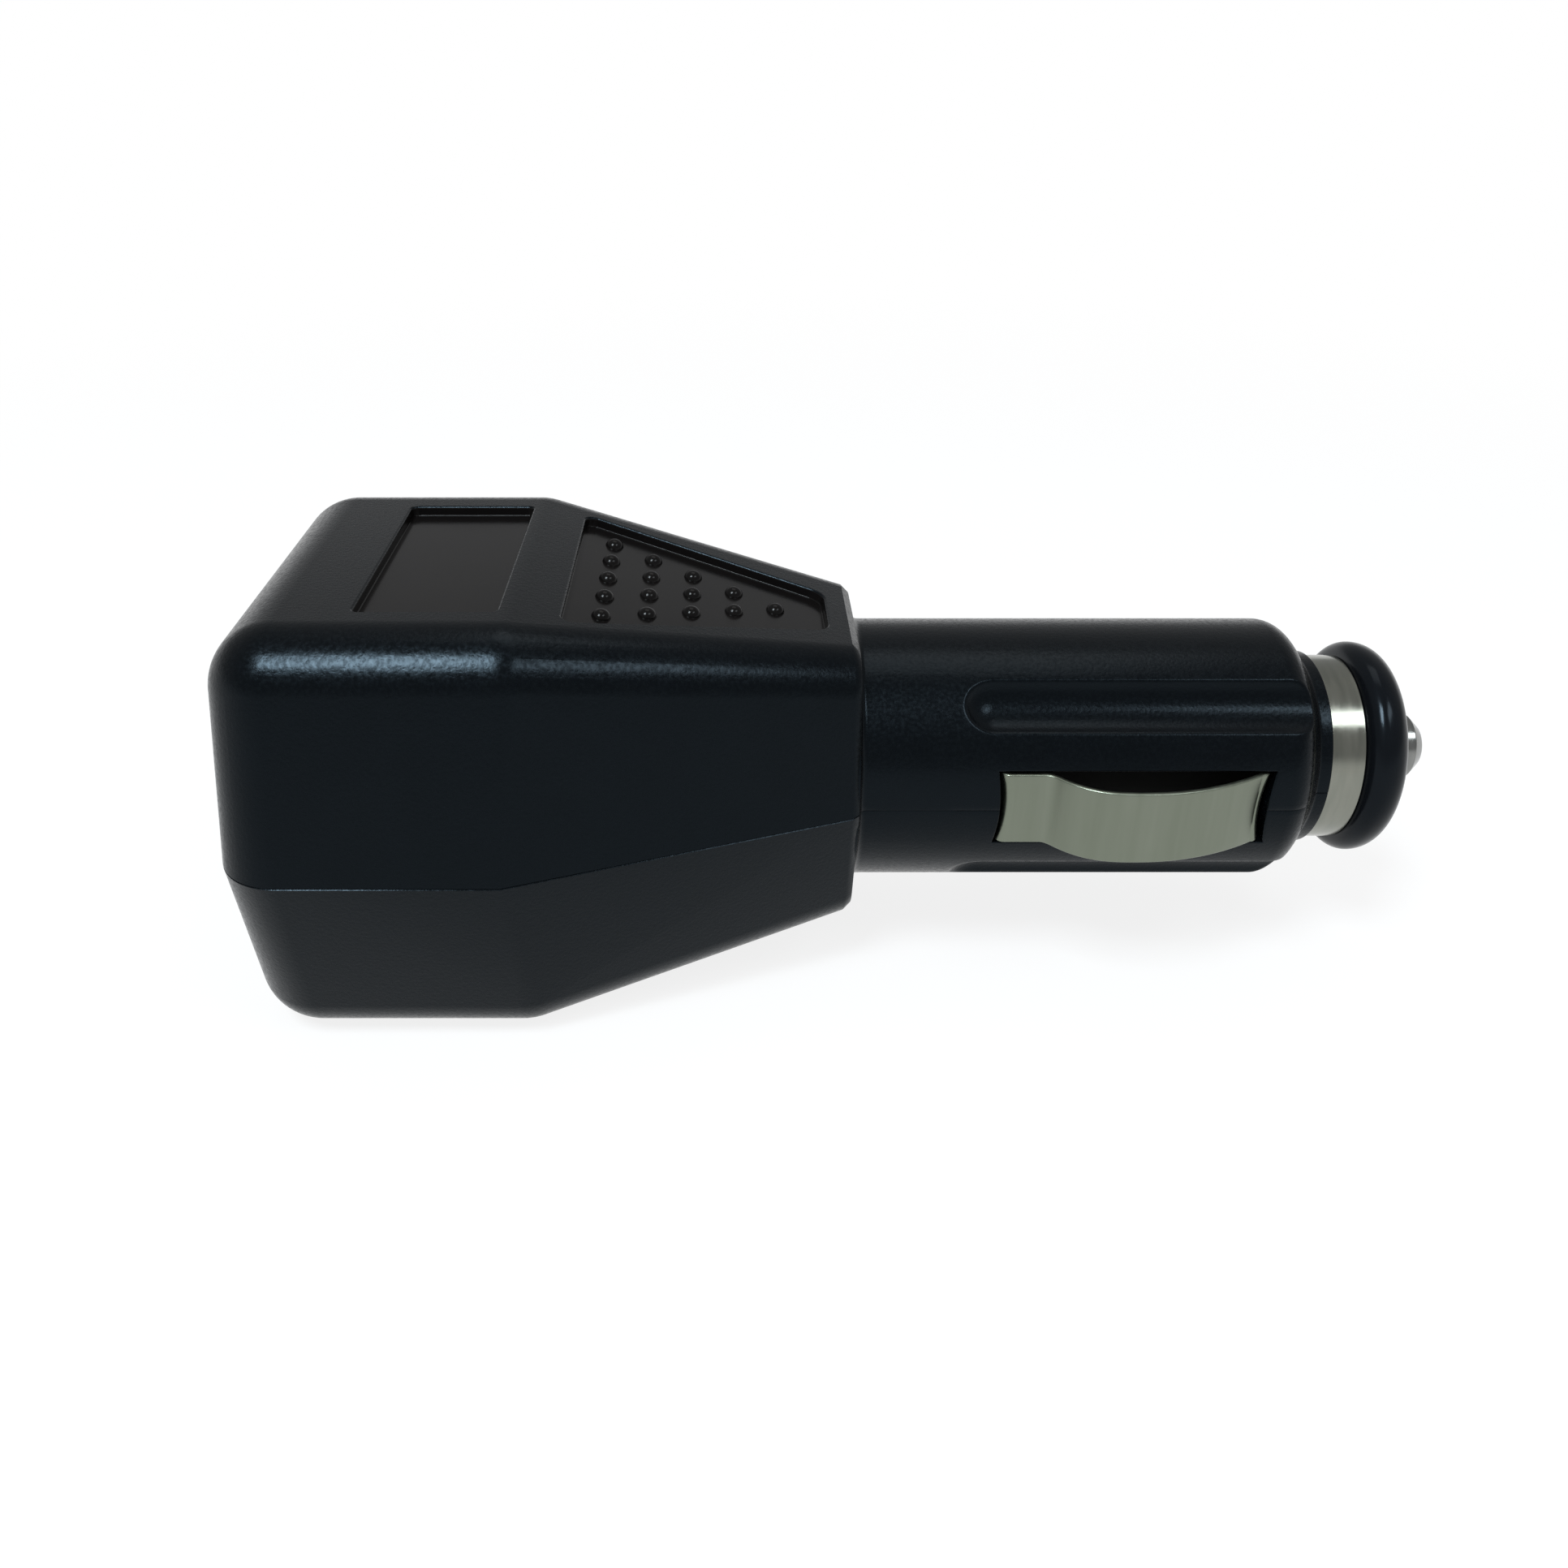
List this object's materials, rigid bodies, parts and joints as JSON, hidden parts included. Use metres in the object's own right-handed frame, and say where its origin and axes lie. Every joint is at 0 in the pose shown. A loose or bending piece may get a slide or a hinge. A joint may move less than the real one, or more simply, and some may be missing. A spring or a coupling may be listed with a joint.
{
  "type": "car usb charger plug",
  "caption": "Car socket plug with a tapered moulded head, domed grip recesses, sprung side contacts and centre pin, and a USB-A port in its rear face.",
  "frame": {"origin": "where the barrel's axis meets the head's front face", "axes": "+X along the barrel's axis to the tip, +Y to the left side contact, +Z square to the parting plane, to the upper housing"},
  "size_m": [0.0934, 0.0424, 0.0336],
  "materials": {
    "housing_plastic": "fine moulded grain",
    "collar_plastic": "glossy",
    "nickel_ring": "polished nickel",
    "nickel_pin": "polished nickel",
    "contact_metal": "satin nickel",
    "fuse_metal": "plated",
    "fuse_glass": "clear",
    "spring_steel": "drawn wire",
    "brass_sheet": "rolled",
    "board_green": "solder mask",
    "port_steel": "plated",
    "tongue_plastic": "moulded",
    "ferrite": "sintered",
    "copper": "enamelled",
    "capacitor_can": "sleeve",
    "chip_plastic": "moulded"
  },
  "bodies": {
    "housing": {"upper_housing": "housing_plastic", "lower_housing": "housing_plastic", "tip_collar": "collar_plastic", "retaining_ring": "nickel_ring", "fuse_spring": "spring_steel", "spring_seat": "brass_sheet", "left_ground_strap": "brass_sheet", "right_ground_strap": "brass_sheet", "port_contacts": "brass_sheet", "circuit_board": "board_green", "port_shell": "port_steel", "port_tongue": "tongue_plastic", "coil_core": "ferrite", "coil_winding": "copper", "input_capacitor": "capacitor_can", "output_capacitor": "capacitor_can", "regulator_chip": "chip_plastic", "control_chip": "chip_plastic", "rectifier_diode": "chip_plastic", "chip_resistors": "chip_plastic"},
    "plunger": {"centre_pin": "nickel_pin", "fuse_front_cap": "fuse_metal", "fuse_rear_cap": "fuse_metal", "fuse_glass": "fuse_glass", "fuse_wire": "fuse_metal"},
    "left_leaf": {"left_contact": "contact_metal"},
    "right_leaf": {"right_contact": "contact_metal"}
  },
  "joints": [
    {"name": "pin_press", "type": "slide", "parent": "housing", "child": "plunger", "axis": [-1, 0, 0], "range_m": [0, 0.002], "stiffness_N_per_m": 1500, "springref_m": -0.001, "deforming": ["fuse_spring"]},
    {"name": "left_contact_press", "type": "slide", "parent": "housing", "child": "left_leaf", "axis": [0, -1, 0], "range_m": [0, 0.0024], "stiffness_N_per_m": 2000, "springref_m": -0.0005},
    {"name": "right_contact_press", "type": "slide", "parent": "housing", "child": "right_leaf", "axis": [0, 1, 0], "range_m": [0, 0.0024], "stiffness_N_per_m": 2000, "springref_m": -0.0005}
  ]
}
